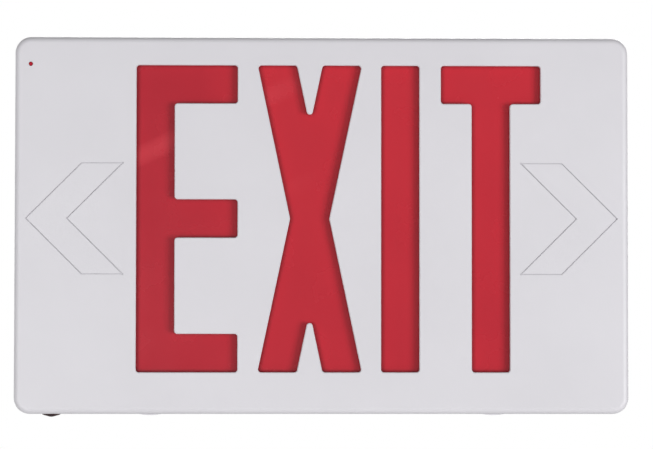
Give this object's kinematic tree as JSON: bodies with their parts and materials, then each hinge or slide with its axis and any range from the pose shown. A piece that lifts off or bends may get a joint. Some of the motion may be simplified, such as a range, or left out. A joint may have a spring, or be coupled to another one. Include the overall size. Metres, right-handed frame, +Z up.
{
  "type": "emergency exit light",
  "caption": "Wall mounted white emergency exit light with a stencil face over a red sheet, knock-out arrows, a red test button and a charge lamp.",
  "frame": {"origin": "middle of the back, on the wall plane, at half the width and half the height of the face", "axes": "+X to the right of someone facing the legend, +Y into the wall, +Z up"},
  "size_m": [0.3048, 0.0452, 0.1897],
  "materials": {
    "cover_abs": "white ABS, fine satin grain",
    "housing_abs": "white ABS, satin as moulded",
    "red_acrylic": "translucent red acrylic sheet",
    "white_steel": "gloss white enamelled steel sheet",
    "circuit_board": "white solder mask on glass epoxy",
    "lamp_case": "white lamp case with a clear lens",
    "core_steel": "varnished lamination stack",
    "black_nylon": "black glass-filled nylon",
    "enamelled_copper": "taped enamelled copper winding",
    "capacitor_sleeve": "dark shrink sleeve",
    "black_epoxy": "black moulded epoxy",
    "resistor_coat": "blue-grey lacquer",
    "green_nylon": "green nylon",
    "white_nylon": "natural white nylon",
    "battery_film": "blue shrink film",
    "spring_steel": "bright spring steel",
    "zinc_screw": "zinc plated steel",
    "red_button": "translucent dark red plastic",
    "red_lamp": "red tinted clear plastic",
    "red_wire": "red insulation",
    "black_wire": "black insulation"
  },
  "bodies": {
    "root": {"front_cover": "cover_abs", "red_diffuser": "red_acrylic", "housing": "housing_abs", "back_plate": "housing_abs", "back_plate_screws": "zinc_screw", "lamp_strip_top": "circuit_board", "lamp_strip_bottom": "circuit_board", "lamps_top": "lamp_case", "lamps_bottom": "lamp_case", "reflector": "white_steel", "reflector_push_nuts": "spring_steel", "charger_board": "circuit_board", "charger_board_screws": "zinc_screw", "transformer_core": "core_steel", "transformer_bobbin": "black_nylon", "transformer_winding": "enamelled_copper", "filter_capacitors": "capacitor_sleeve", "rectifier_diodes": "black_epoxy", "resistors": "resistor_coat", "charge_controller": "black_epoxy", "lamp_driver": "black_epoxy", "line_fuse": "black_nylon", "supply_terminal": "green_nylon", "terminal_screws": "zinc_screw", "battery_socket": "white_nylon", "battery_plug": "white_nylon", "lamp_socket": "white_nylon", "lamp_plug": "white_nylon", "battery_pack": "battery_film", "battery_strap": "spring_steel", "battery_strap_screw": "zinc_screw", "test_switch": "black_nylon", "button_spring": "spring_steel", "indicator_led": "red_lamp", "indicator_light_pipe": "red_lamp", "battery_lead_red": "red_wire", "battery_lead_black": "black_wire", "lamp_lead_top": "black_wire", "lamp_lead_bottom": "black_wire"},
    "button": {"test_button": "red_button", "switch_plunger": "black_nylon"}
  },
  "joints": [
    {"name": "test_press", "type": "slide", "parent": "root", "child": "button", "axis": [0, 0, 1], "range_m": [0, 0.002], "stiffness_N_per_m": 600, "springref_m": -0.0015, "deforming": ["button_spring"]}
  ]
}
